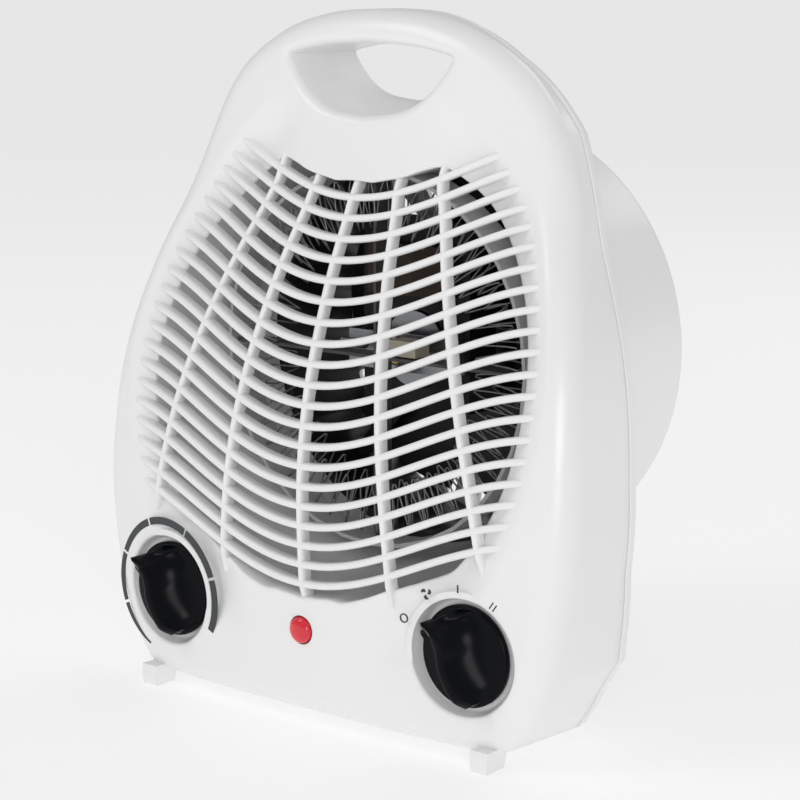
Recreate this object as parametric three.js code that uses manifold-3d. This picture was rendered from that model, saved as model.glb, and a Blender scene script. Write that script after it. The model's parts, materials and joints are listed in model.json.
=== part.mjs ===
// Upright fan heater: a two-shell moulded case with a wave grille, an axial fan on a shaded-pole motor,
// a mica-frame heating element, and two rotary controls. Millimetres, +Z up, front towards -Y.
// Origin: on the floor, on the plane of symmetry, at the seam between the front and rear shells.
import * as THREE from "three";
import { mergeVertices } from "three/addons/utils/BufferGeometryUtils.js";
import Module from "manifold-3d";

const wasm = await Module();
wasm.setup();

// ---- driving dimensions ----
const AXIS_Z = 130; // height of the fan axis
const WALL = 2.4; // moulded wall
const GAP = 0.3; // clearance between separate pieces
const EDGE_R = 7; // rounding between face and side
const REAR_R = 12; // rounding between side and back, and depth of the rear shell's rim
// height, and how far each side closes in there from the face to the seam; corners open out instead
const SIDE_DRAFT = [
  [5, -3], [11, -2.5], [19, -3], [35, 1.2], [62, 5.5], [95, 6.5], [135, 5.7], [175, 5], [211, 0.5], [226, -3], [239, -6],
  [249, -5], [255, 0], [300, 0],
];
const BOTTOM_DROP = 4; // how far the underside falls from the face to the seam
const DRUM = { r: 84, depth: 63.6, edge: 3 };
const RIM_POINTS = 48;
// right half of the case outline, floor to top: [half width, height]
const OUTLINE = [
  [0, 5], [74, 5], [88, 11], [98.5, 30], [106, 62], [108, 95], [104.2, 135], [93.5, 175], [80.5, 211],
  [66.5, 233], [45, 247], [22, 253.5], [0, 255],
];
const GRILLE = {
  a: 85, b: 77, z: 128, // opening: an ellipse
  first: 53.7, pitch: 7.13, count: 20, // bars at the centre line
  wave: 13.5, halfWave: 100, // every bar is one cosine wave
  barHeight: 2.8, barDrop: 0.5, barDepth: 4.5, ribWidth: 2.6, ribDrop: 1.3, ribDepth: 4.4,
};
const DIAL = { x: 69.4, z: 38.9, dishR: 21.4, floorY: -48.2, holeR: 4.6, knobR: 18, crestY: -63.6, turn: 34 };
const LAMP = { z: 36.7, r: 5 };
const HANDLE = { halfWidth: 36, low: 218, corner: 236.8, top: 243.3, taperZ: 240 };
const HANDLE_TAPER = [[-40, 1.04], [0, 1], [20, 0.72]]; // depth, and the grip opening's scale there
const FOOT = { x: 78.6, w: 7, front: -55, back: -45 };
const SCREWS = [[83, 66], [62, 207]]; // mirrored to both sides
const BOSS_END = 7.5; // screw bosses pass the seam and end inside the rear shell
const SHAFT_R = 1.6;
const FAN = { blades: 5, hubR: 13, tipR: 66, y: 39.5, depth: 15 };
const DUCT = { r: 74, rearY: 14 };
const SHROUD = { r: 71, front: 14.5, back: 56 };
const HEATER = { r: 70, front: -18, back: -4 };

// ---- surface formulas ----
const clamp01 = (t) => Math.min(1, Math.max(0, t));
const lerp = (a, b, t) => a + (b - a) * t;
// Depth of the face on the centre line: upright, then leaning back, then upright again at the handle.
const LEAN = new THREE.SplineCurve(
  [[0, -56], [37, -56.6], [88, -58.2], [125, -53.4], [161, -41.8], [189, -29.2], [210, -24], [238, -21.2], [262, -19.6]]
    .map(([z, y]) => new THREE.Vector2(z, y)),
).getPoints(80);
function leanAt(z) {
  const k = LEAN.findIndex((p) => p.x >= z);
  if (k <= 0) return (k ? LEAN.at(-1) : LEAN[0]).y;
  const [a, b] = [LEAN[k - 1], LEAN[k]];
  return lerp(a.y, b.y, (z - a.x) / (b.x - a.x));
}
const crown = (z) => 0.0006 + 0.0004 * clamp01((z - 40) / 60);
const faceY = (x, z) => leanAt(z) + crown(z) * x * x;
const waveZ = (x) => GRILLE.wave * (1 - Math.cos((Math.PI * x) / GRILLE.halfWave));
const ribX = (k, z) => k * (39.5 - 21 * clamp01((z - 50) / 145) ** 1.4);

// ---- solids ----
function solid(geometry) {
  const g = geometry.clone();
  g.deleteAttribute("normal");
  g.deleteAttribute("uv");
  const m = mergeVertices(g, 1e-4);
  const make = (tri) =>
    new wasm.Manifold(new wasm.Mesh({ numProp: 3, vertProperties: m.attributes.position.array, triVerts: tri }));
  const tri = new Uint32Array(m.index.array);
  const made = make(tri);
  if (made.volume() > 0) return made;
  for (let i = 0; i < tri.length; i += 3) [tri[i + 1], tri[i + 2]] = [tri[i + 2], tri[i + 1]];
  return make(tri);
}
// A closed skin through rings of equal length, with a fan from its centre closing each end.
function ringSolid(rings) {
  const n = rings[0].length;
  const middle = (r) => r.reduce((s, p) => s.add(p), new THREE.Vector3()).divideScalar(n);
  const points = [...rings.flat(), middle(rings[0]), middle(rings.at(-1))];
  const [c0, c1, last] = [points.length - 2, points.length - 1, (rings.length - 1) * n];
  const index = [];
  for (let i = 0; i < n; i++) {
    const j = (i + 1) % n;
    for (let r = 0; r < rings.length - 1; r++) {
      const [a, b, c, d] = [r * n + i, r * n + j, (r + 1) * n + i, (r + 1) * n + j];
      index.push(a, b, d, a, d, c);
    }
    index.push(c0, j, i, c1, last + i, last + j);
  }
  return solid(new THREE.BufferGeometry().setFromPoints(points).setIndex(index));
}
const at = (geometry, x, y, z) => solid(geometry.translate(x, y, z));
const box = (x0, x1, y0, y1, z0, z1) =>
  at(new THREE.BoxGeometry(x1 - x0, y1 - y0, z1 - z0), (x0 + x1) / 2, (y0 + y1) / 2, (z0 + z1) / 2);
// A cylinder along Y from y0 to y1, centred on (x, z).
const rod = (x, z, r, y0, y1, sides = 24, r1 = r) =>
  at(new THREE.CylinderGeometry(r1, r, y1 - y0, sides), x, (y0 + y1) / 2, z);
const tube = (x, z, r, inner, y0, y1, sides = 32) =>
  rod(x, z, r, y0, y1, sides).subtract(rod(x, z, inner, y0 - 1, y1 + 1, sides));
const joined = (list) => list.reduce((a, b) => a.add(b));
// Only the outermost skin, so that a pocket closed in where walls meet is solid material.
const filled = (made) => made.decompose().reduce((a, b) => (a.volume() > b.volume() ? a : b));
const mirrored = (make) => [make(-1), make(1)];
// A flat shape drawn in (x, z), given depth from y0 to y1.
function plate(shape, y0, y1, curveSegments = 6) {
  const g = new THREE.ExtrudeGeometry(shape, { depth: y1 - y0, bevelEnabled: false, curveSegments });
  return solid(g.rotateX(Math.PI / 2).translate(0, y1, 0));
}

// ---- case outline ----
const RIM = (() => {
  const half = new THREE.SplineCurve(OUTLINE.map((p) => new THREE.Vector2(...p))).getSpacedPoints(RIM_POINTS / 2);
  const left = half.slice(1, -1).reverse().map((p) => new THREE.Vector2(-p.x, p.y));
  return [...half, ...left];
})();
const RIM_NORMAL = RIM.map((p, i) => {
  const t = RIM[(i + 1) % RIM.length].clone().sub(RIM.at(i - 1)).normalize();
  return new THREE.Vector2(t.y, -t.x);
});
const sideDraft = (z) => {
  const k = Math.max(1, SIDE_DRAFT.findIndex(([height]) => height >= z));
  const [[low, from], [high, to]] = [SIDE_DRAFT[k - 1], SIDE_DRAFT[k]];
  return lerp(from, to, clamp01((z - low) / (high - low)));
};
// The outline moved in by inset, closed in at the sides and dropped underneath as it nears the seam (seam 0 to 1).
const caseRing = (inset, seam, yOf) =>
  RIM.map((p, i) => {
    const n = RIM_NORMAL[i];
    const [flat, up] = [p.x - n.x * inset, p.y - n.y * inset];
    const x = flat - Math.sign(flat) * sideDraft(up) * Math.min(1, Math.abs(flat) / 30) * seam;
    const z = up - BOTTOM_DROP * seam * clamp01(1 - (p.y - 5) / 20);
    return new THREE.Vector3(x, yOf(x, z), z);
  });
function frontBody(t) {
  const face = (x, z) => faceY(x, z) + t;
  const steps = t ? [0.3, 0.75] : [0.12, 0.35, 0.58, 0.8];
  const edge = caseRing(EDGE_R, 0, face);
  const hub = new THREE.Vector2(0, 125);
  const rings = steps.map((s) =>
    edge.map((p) => {
      const [x, z] = [lerp(hub.x, p.x, s), lerp(hub.y, p.z, s)];
      return new THREE.Vector3(x, face(x, z), z);
    }),
  );
  rings.push(edge);
  for (const a of [45, 90].map(THREE.MathUtils.degToRad)) {
    const rise = (EDGE_R - t) * (1 - Math.cos(a));
    rings.push(caseRing(t + (EDGE_R - t) * (1 - Math.sin(a)), 0.05, (x, z) => face(x, z) + rise));
  }
  rings.push(caseRing(t, 1, () => (t ? 1 : -GAP / 2)));
  return ringSolid(rings);
}
function rearBody(t) {
  const rings = [caseRing(t, 1, () => (t ? -1 : GAP / 2))];
  for (const a of [0, 30, 60, 90].map(THREE.MathUtils.degToRad)) {
    const inset = t + (REAR_R - t) * (1 - Math.cos(a));
    rings.push(caseRing(inset, 1, () => Math.max(GAP, (REAR_R - t) * Math.sin(a))));
  }
  return ringSolid(rings);
}
const ellipse = (a, b, z, y, n = 40) =>
  Array.from({ length: n }, (_, i) => {
    const t = (2 * Math.PI * i) / n;
    return new THREE.Vector3(a * Math.cos(t), y, z + b * Math.sin(t));
  });
// Grip opening: a shallow arch on top and a deep bowl below.
function handleRing(scale, grow, y) {
  const half = new THREE.SplineCurve(
    [[0, HANDLE.low - grow], [16.5, 220.3 - grow], [27.5, 226.5 - grow], [HANDLE.halfWidth + grow, HANDLE.corner],
      [33.8, 239.5 + grow], [19, 242.2 + grow], [0, HANDLE.top + grow]].map((p) => new THREE.Vector2(...p)),
  ).getPoints(12);
  const left = half.slice(1, -1).reverse().map((p) => new THREE.Vector2(-p.x, p.y));
  return [...half, ...left].map((p) => new THREE.Vector3(p.x * scale, y, lerp(HANDLE.taperZ, p.y, scale)));
}
const handleCut = (grow) =>
  ringSolid(HANDLE_TAPER.map(([y, scale]) => handleRing(scale, grow, y)));
const screwPlaces = SCREWS.flatMap(([x, z]) => mirrored((s) => [s * x, z]));

// ---- front cover ----
// A strip with a rectangular section, lofted through stations that give its centre and which way is across.
function strip(stations, width, depth, across) {
  const half = across === "z" ? new THREE.Vector3(0, 0, width / 2) : new THREE.Vector3(width / 2, 0, 0);
  const back = new THREE.Vector3(0, depth, 0);
  return ringSolid(
    stations.map((p) => [
      p.clone().add(half), p.clone().sub(half), p.clone().sub(half).add(back), p.clone().add(half).add(back),
    ]),
  );
}
function inOpening(x, z, grow = 1.2) {
  return (x / (GRILLE.a + grow)) ** 2 + ((z - GRILLE.z) / (GRILLE.b + grow)) ** 2 < 1;
}
function grilleBar(k) {
  const z0 = GRILLE.first + k * GRILLE.pitch;
  let reach = 4;
  while (inOpening(reach, z0 + waveZ(reach))) reach += 1;
  const steps = Math.max(4, 2 * Math.round(reach / 20));
  const stations = Array.from({ length: steps + 1 }, (_, i) => {
    const x = lerp(-reach, reach, i / steps);
    return new THREE.Vector3(x, faceY(x, z0 + waveZ(x)) + GRILLE.barDrop, z0 + waveZ(x));
  });
  return strip(stations, GRILLE.barHeight, GRILLE.barDepth, "z");
}
function grilleRib(k) {
  const [low, high] = [GRILLE.first - 7 + (k * k) * 6, 197 - k * k * 0.6];
  const stations = Array.from({ length: 6 }, (_, i) => {
    const z = lerp(low, high, i / 5) + Math.abs(k) * 1.5;
    return new THREE.Vector3(ribX(k, z), faceY(ribX(k, z), z) + GRILLE.ribDrop, z);
  });
  return strip(stations, GRILLE.ribWidth, GRILLE.ribDepth, "x");
}
// The opening's upper and lower rims follow the wave, so the ellipse is trimmed by two more waves.
function grilleOpening() {
  const hole = ringSolid([ellipse(GRILLE.a, GRILLE.b, GRILLE.z, -80), ellipse(GRILLE.a, GRILLE.b, GRILLE.z, 5)]);
  const xs = Array.from({ length: 15 }, (_, i) => lerp(-98, 98, i / 14));
  const line = (z0) => xs.map((x) => new THREE.Vector2(x, z0 + waveZ(x)));
  const shape = new THREE.Shape([...line(47.6), ...line(194.9).reverse()]);
  return hole.intersect(plate(shape, -80, 5));
}
function airDuct() {
  const mouth = (grow) => ellipse(GRILLE.a + 1 + grow, GRILLE.b + 1 + grow, GRILLE.z, 0, 32);
  const wall = (grow, beyond) =>
    ringSolid([
      mouth(grow).map((p) => new THREE.Vector3(p.x, faceY(p.x, p.z) + 1.4 - beyond, p.z)),
      ellipse(DUCT.r + grow, DUCT.r + grow, AXIS_Z, DUCT.rearY + beyond, 32),
    ]);
  return wall(2, 0).subtract(wall(0, 1));
}
function frontCover() {
  const outer = frontBody(0);
  const inside = outer.intersect(box(-120, 120, -90, -GAP, -5, 260));
  const dish = (s) => rod(s * DIAL.x, DIAL.z, DIAL.dishR + WALL, -60, DIAL.floorY + WALL, 32);
  const boss = ([x, z]) => rod(x, z, 4, -52, BOSS_END, 10);
  const opening = grilleOpening();
  const shell = outer.subtract(frontBody(WALL));
  const walls = [airDuct(), ...[handleCut(WALL), ...mirrored(dish)].map((w) => w.intersect(inside))];
  const solidParts = joined([shell, ...walls, ...screwPlaces.map((p) => boss(p).intersect(frontReach(outer)))]);
  const cut = joined([
    opening, handleCut(0),
    ...mirrored((s) => rod(s * DIAL.x, DIAL.z, DIAL.dishR, -80, DIAL.floorY, 32)),
    ...mirrored((s) => rod(s * DIAL.x, DIAL.z, DIAL.holeR, -60, -40, 16)),
    rod(0, LAMP.z, LAMP.r + GAP, -70, -40, 20),
    ...screwPlaces.map(([x, z]) => rod(x, z, 1.7, -20, 20, 8)),
  ]);
  const bars = Array.from({ length: GRILLE.count }, (_, k) => grilleBar(k));
  const ribs = [-2, -1, 0, 1, 2].map(grilleRib);
  const grille = joined([...bars, ...ribs]);
  const feet = mirrored((s) => box(s * FOOT.x - FOOT.w / 2, s * FOOT.x + FOOT.w / 2, FOOT.front, FOOT.back, 0, 7));
  return filled(joined([solidParts.subtract(cut), grille, ...feet]));
}
// The bosses may pass the seam, so they are held inside the case by this, not by the outer skin alone.
const frontReach = (outer) => outer.add(box(-90, 90, -2, BOSS_END + 1, 30, 230));

// ---- rear cover ----
function drum(grow) {
  const r = DRUM.r - grow;
  const end = DRUM.depth - grow;
  const e = Math.max(1, DRUM.edge - grow);
  return ringSolid([
    ellipse(r + 1.5, r + 1.5, AXIS_Z, grow ? 5 : 8, 48), ellipse(r, r, AXIS_Z, end - e, 48),
    ellipse(r - e, r - e, AXIS_Z, end, 48),
  ]);
}
function rearSlots() {
  const slot = (inner, outer, width, count, turn) =>
    Array.from({ length: count }, (_, i) => {
      const a = ((i + turn) / count) * 2 * Math.PI;
      const g = new THREE.BoxGeometry(outer - inner, 10, width).translate((inner + outer) / 2, 0, 0).rotateY(a);
      return at(g, 0, DRUM.depth, AXIS_Z);
    });
  return joined([...slot(45, 75, 4, 28, 0.5), ...slot(18, 40, 4, 14, 0.5)]);
}
function rearCover() {
  const outer = rearBody(0);
  const shell = outer.subtract(rearBody(WALL)).add(handleCut(WALL).intersect(outer));
  const cut = joined([
    drum(WALL), rearSlots(), handleCut(0), rod(CORD.x, CORD.z, CORD.hole, 5, 20, 20),
    ...screwPlaces.map(([x, z]) => rod(x, z, 2, 5, 20, 10)),
  ]);
  const feet = mirrored((s) => box(s * 72 - 8, s * 72 + 8, GAP / 2, 9, 0, 4));
  return joined([shell, drum(0), ...feet]).subtract(cut);
}

// ---- controls ----
const CORD = { x: -52, z: 26, hole: 5.3, r: 3.4 };
const PLUG = { x0: -88, x1: -54, y: 41, z: 7.5 };
// A round skirt with a tall flared grip across it, which ends in a pointer.
function knob() {
  const [skirtTop, seat] = [DIAL.floorY - 4.2, DIAL.floorY - 0.8];
  const skirt = rod(0, 0, DIAL.knobR, skirtTop, seat, 32, DIAL.knobR);
  const rise = DIAL.crestY - skirtTop;
  const profile = new THREE.Shape([
    [-11, 0.5], [-5, rise * 0.3], [-2.6, rise * 0.7], [-1.9, rise], [1.9, rise], [2.6, rise * 0.7], [5, rise * 0.3], [11, 0.5],
  ].map((p) => new THREE.Vector2(...p)));
  const grip = new THREE.ExtrudeGeometry(profile, { depth: 2 * DIAL.knobR, bevelEnabled: false });
  grip.translate(0, skirtTop, -DIAL.knobR);
  const round = rod(0, 0, DIAL.knobR - 0.4, -80, seat, 32, DIAL.knobR - 0.4);
  return skirt.add(solid(grip).intersect(round)).subtract(rod(0, 0, 3.3, DIAL.floorY - 9, -40, 12));
}
const turned = (s, m) => m.rotate([0, -DIAL.turn, 0]).translate([s * DIAL.x, 0, DIAL.z]);
const controlShaft = () => rod(0, 0, 3, DIAL.floorY - 8.5, -38, 12);
function thermostatBody() {
  const body = box(-DIAL.x - 13, -DIAL.x + 13, -45, -34, DIAL.z - 9, DIAL.z + 9);
  const bimetal = box(-DIAL.x - 12, -DIAL.x + 16, -33, -32, DIAL.z - 5, DIAL.z + 5);
  const post = box(-DIAL.x + 8, -DIAL.x + 11, -34.5, -32.5, DIAL.z - 4, DIAL.z + 4);
  return joined([body, post, bimetal]).subtract(rod(-DIAL.x, DIAL.z, 3 + GAP, -60, -37, 12));
}
function selectorBody() {
  const body = box(DIAL.x - 12, DIAL.x + 12, -45, -28, DIAL.z - 12, DIAL.z + 12);
  const tags = [-8, -3, 3, 8].map((x) => box(DIAL.x + x - 0.4, DIAL.x + x + 0.4, -28.5, -22, DIAL.z - 2.4, DIAL.z + 2.4));
  return joined([body, ...tags]).subtract(rod(DIAL.x, DIAL.z, 3 + GAP, -60, -37, 12));
}
function lampLens() {
  const profile = [[0, -58.6], [2.4, -58.2], [4.2, -57], [4.9, -55.6], [4.9, -50], [0, -50]];
  const g = new THREE.LatheGeometry(profile.map((p) => new THREE.Vector2(...p)), 20);
  return at(g, 0, 0, LAMP.z);
}

// ---- air mover ----
function fanWheel() {
  const hub = rod(0, 0, FAN.hubR, FAN.y, FAN.y + FAN.depth, 24);
  const blade = (i) => {
    const rings = [10, 30, 48, FAN.tipR].map((r, k) => {
      const [sweep, half, pitch] = [0.1 * k, lerp(0.62, 0.44, k / 3), lerp(6.5, 4.2, k / 3)];
      const edge = (u, d) => {
        const a = (i / FAN.blades) * 2 * Math.PI + sweep + u * half;
        const y = FAN.y + FAN.depth / 2 + u * pitch + d;
        return new THREE.Vector3(r * Math.cos(a), y, r * Math.sin(a));
      };
      const us = [-1, -0.4, 0.4, 1];
      return [...us.map((u) => edge(u, -0.7)), ...us.reverse().map((u) => edge(u, 0.7))];
    });
    return ringSolid(rings);
  };
  const wheel = joined([hub, ...Array.from({ length: FAN.blades }, (_, i) => blade(i))]);
  const hollow = rod(0, 0, FAN.hubR - 3, FAN.y - 1, FAN.y + 5, 20);
  return wheel.subtract(hollow).subtract(rod(0, 0, SHAFT_R + GAP, 0, 70, 12)).translate([0, 0, AXIS_Z]);
}
const STATOR = { y0: 9, y1: 25, bore: 15, halfWidth: 25, low: 108, high: 178 };
function statorCore() {
  const block = box(-STATOR.halfWidth, STATOR.halfWidth, STATOR.y0, STATOR.y1, STATOR.low, STATOR.high);
  const windows = mirrored((s) => box(s * 14 - 5, s * 14 + 5, 0, 40, 150, 170));
  return block.subtract(joined([rod(0, AXIS_Z, STATOR.bore, 0, 40, 28), ...windows]));
}
function coilWinding() {
  const outer = box(-18.4, 18.4, STATOR.y0 - 6, STATOR.y1 + 6, 150.6, 169.4);
  const leg = box(-9.3, 9.3, STATOR.y0 - GAP, STATOR.y1 + GAP, 140, 180);
  return outer.subtract(leg);
}
function motorBracket(front) {
  const [y0, y1] = front ? [STATOR.y0 - 10, STATOR.y0 - 8] : [STATOR.y1 + 8, STATOR.y1 + 10];
  const [foot0, foot1] = front ? [y0, STATOR.y0 - GAP] : [STATOR.y1 + GAP, y1];
  const bar = box(-24, 24, y0, y1, AXIS_Z - 7, AXIS_Z + 7);
  const legs = mirrored((s) => box(s * 21.5 - 2.5, s * 21.5 + 2.5, foot0, foot1, AXIS_Z - 7, AXIS_Z + 7));
  const cup = rod(0, AXIS_Z, 7, y0 - (front ? 3 : 2), y1 + (front ? 2 : 3), 20);
  return joined([bar, ...legs, cup]).subtract(rod(0, AXIS_Z, 4.3, -60, 60, 16));
}
const bearing = (y) => tube(0, AXIS_Z, 4, SHAFT_R + 0.1, y - 3, y + 3, 16);
const HOOP_Y = STATOR.y1 + 10.5; // the motor hangs from this hoop
function shroud() {
  const flange = tube(0, AXIS_Z, 80, SHROUD.r, SHROUD.front, SHROUD.front + 2, 36);
  const wall = tube(0, AXIS_Z, SHROUD.r + 2, SHROUD.r, SHROUD.front, SHROUD.back, 36);
  const arms = [45, 135, 225, 315].map((d) => {
    const g = new THREE.BoxGeometry(SHROUD.r - 29, 2.5, 6).translate((SHROUD.r + 31) / 2, 0, 0);
    return at(g.rotateY(THREE.MathUtils.degToRad(d)), 0, HOOP_Y + 1.25, AXIS_Z);
  });
  const hoop = tube(0, AXIS_Z, 33, 27, HOOP_Y, HOOP_Y + 2.5, 20);
  return joined([flange, wall, ...arms, hoop]);
}

// ---- heater ----
// A flat ribbon bent to and fro between two radii, all the way round.
function ribbonRing(inner, outer, teeth, y) {
  const point = (i, shift) => {
    const a = (i / teeth) * Math.PI;
    const r = (i % 2 ? outer : inner) + shift;
    return new THREE.Vector2(r * Math.cos(a), r * Math.sin(a));
  };
  const line = (shift) => Array.from({ length: 2 * teeth }, (_, i) => point(i, shift));
  const shape = new THREE.Shape(line(0.9));
  shape.holes.push(new THREE.Path(line(-0.9)));
  return plate(shape, y - 0.4, y + 0.4).translate([0, 0, AXIS_Z]);
}
const micaBoard = (x0, x1, z0, z1) => box(x0, x1, HEATER.front + 3, HEATER.back - 2, z0, z1);
const heaterFrame = () => tube(0, AXIS_Z, HEATER.r, HEATER.r - 1.4, HEATER.front, HEATER.back, 32);

// ---- wiring ----
function lead(points, r = 1.2, steps = 10) {
  const path = new THREE.CatmullRomCurve3(points.map((p) => new THREE.Vector3(...p)));
  const round = new THREE.Shape().absarc(0, 0, r, 0, 2 * Math.PI);
  return solid(new THREE.ExtrudeGeometry(round, { steps, bevelEnabled: false, extrudePath: path, curveSegments: 3 }));
}
// The cord leaves the grip, is wound into a hank that stands on the floor under the drum, and ends at the plug.
function powerCord() {
  const inside = [[-28.4, -22, 17], [-44, -12, 20], [CORD.x, 1, CORD.z], [CORD.x, 14, CORD.z], [CORD.x, 25, CORD.z]];
  const [from, to, perTurn] = [160, -810, 7.5];
  const hank = Array.from({ length: 33 }, (_, i) => {
    const degrees = lerp(from, to, i / 32);
    const a = THREE.MathUtils.degToRad(degrees);
    return [42 * Math.cos(a), 34 + ((from - degrees) / 360) * perTurn, CORD.r + 15 + 15 * Math.sin(a)];
  });
  const end = [[-16, 54, 3.6], [-34, 50, 5], [-45, 43, 7], [-50, PLUG.y + 0.4, PLUG.z], [PLUG.x1 + 1, PLUG.y, PLUG.z]];
  return lead([...inside, ...hank, ...end], CORD.r - 0.2, 66);
}
function plug() {
  const block = box(PLUG.x0, PLUG.x1 - 8, PLUG.y - 16, PLUG.y + 16, 0, 2 * PLUG.z);
  const tail = at(new THREE.CylinderGeometry(7.4, 5, 9, 20).rotateZ(Math.PI / 2), PLUG.x1 - 4.5, PLUG.y, PLUG.z);
  const sockets = mirrored((s) => pinShape(s, 2.7, -9));
  return block.add(tail).subtract(joined(sockets));
}
const pinShape = (s, r, into) =>
  at(new THREE.CylinderGeometry(r, r, 19 - into, 12).rotateZ(Math.PI / 2), PLUG.x0 - 9.5 - into / 2, PLUG.y + s * 9.5, PLUG.z);
const screw = (x, z) => joined([rod(x, z, 3.6, REAR_R + GAP, REAR_R + 2.2, 14), rod(x, z, 1.3, -10, REAR_R + 1, 8)]);
const cordGrip = () =>
  joined([rod(CORD.x, CORD.z, 7, REAR_R + GAP, REAR_R + 4, 20), rod(CORD.x, CORD.z, 5, 4, REAR_R + 10, 16, 4.4)])
    .subtract(rod(CORD.x, CORD.z, CORD.r + 0.6, -10, 60, 16));

// ---- assembly ----
const LOOKS = {
  shell: [0xf4f4f2, 0.32, 0], knob: [0x0b0c0f, 0.25, 0], lens: [0xc8102a, 0.1, 0], dark: [0x141414, 0.45, 0],
  steel: [0xa9adb2, 0.35, 0.9], mica: [0xcfc8b4, 0.6, 0], wire: [0x8d8f94, 0.35, 1], copper: [0xa8562a, 0.4, 0.8],
  brown: [0x6b4a2f, 0.6, 0], cream: [0xe6dfcf, 0.6, 0], brass: [0xb59a4a, 0.4, 0.9],
};
const heater = new THREE.Group();
function piece(name, made, look) {
  const mesh = made.getMesh();
  const geometry = new THREE.BufferGeometry()
    .setAttribute("position", new THREE.BufferAttribute(new Float32Array(mesh.vertProperties), 3))
    .setIndex(new THREE.BufferAttribute(mesh.triVerts, 1));
  const [color, roughness, metalness] = LOOKS[look];
  const object = new THREE.Mesh(geometry, new THREE.MeshStandardMaterial({ color, roughness, metalness }));
  object.name = name;
  heater.add(object);
}
piece("front_cover", frontCover(), "shell");
piece("rear_cover", rearCover(), "shell");
piece("thermostat_knob", turned(-1, knob()), "knob");
piece("selector_knob", turned(1, knob()), "knob");
piece("thermostat_shaft", turned(-1, controlShaft()), "steel");
piece("selector_shaft", turned(1, controlShaft()), "steel");
piece("thermostat_body", thermostatBody(), "brown");
piece("selector_switch_body", selectorBody(), "cream");
piece("indicator_lens", lampLens(), "lens");
piece("indicator_neon_bulb", rod(0, LAMP.z, 3, -49.6, -34, 14, 2.4), "cream");
piece("fan_shroud", shroud(), "dark");
piece("fan_wheel", fanWheel(), "dark");
piece("fan_retaining_clip", tube(0, AXIS_Z, 5, SHAFT_R + GAP, FAN.y + FAN.depth + GAP, FAN.y + FAN.depth + 1.3, 14), "steel");
piece("motor_shaft", rod(0, AXIS_Z, SHAFT_R, STATOR.y0 - 14, FAN.y + FAN.depth + 3, 12), "steel");
piece("motor_rotor", tube(0, AXIS_Z, STATOR.bore - 0.6, SHAFT_R + GAP, STATOR.y0 - 1, STATOR.y1 + 1, 28), "steel");
piece("stator_core", statorCore(), "steel");
piece("stator_winding", coilWinding(), "copper");
piece("motor_bracket_front", motorBracket(true), "steel");
piece("motor_bracket_rear", motorBracket(false), "steel");
piece("front_bearing", bearing(STATOR.y0 - 9.5), "brass");
piece("rear_bearing", bearing(STATOR.y1 + 9.5), "brass");
piece("heater_frame", heaterFrame(), "steel");
piece("mica_board_upright", micaBoard(-0.6, 0.6, AXIS_Z - 68, AXIS_Z + 68), "mica");
piece("mica_board_left", micaBoard(-68, -1, AXIS_Z - 0.6, AXIS_Z + 0.6), "mica");
piece("mica_board_right", micaBoard(1, 68, AXIS_Z - 0.6, AXIS_Z + 0.6), "mica");
piece("heating_ribbon_front", ribbonRing(46, 66, 22, HEATER.front + 2), "wire");
piece("heating_ribbon_rear", ribbonRing(46, 66, 22, HEATER.back - 1), "wire");
piece("thermal_cutout", box(6, 18, -14, -6, AXIS_Z + 1.2, AXIS_Z + 7), "cream");
piece("thermal_fuse", at(new THREE.CylinderGeometry(1.8, 1.8, 11, 12).rotateZ(Math.PI / 2), -14, -10, AXIS_Z + 3.4), "steel");
piece("terminal_block", box(-26, -2, -28, -18, 12, 22), "cream");
piece("cord_grip", cordGrip(), "dark");
piece("power_cord", powerCord(), "dark");
piece("plug", plug(), "dark");
mirrored((s) => piece(`plug_pin_${s < 0 ? 1 : 2}`, pinShape(s, 2.4, -8.7), "brass"));
piece("lead_to_switch", lead([[-1.4, -23, 17], [12, -20, 16], [40, -18, 24], [65.9, -19.8, 39.4]]), "brown");
piece("lead_to_lamp", lead([[-10, -29.5, 20], [-6, -31, 26], [-2, -32.5, 34], [0, -32.8, LAMP.z]], 0.8), "brown");
screwPlaces.forEach(([x, z], i) => piece(`case_screw_${i + 1}`, screw(x, z), "steel"));

export default heater;
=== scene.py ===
"""Upright fan heater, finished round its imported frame.

Lengths are millimetres, and MM turns them into metres. +Z is up, the grille faces -Y, and the origin is on
the floor under the seam between the two shells.
"""
import json
import math

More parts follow.
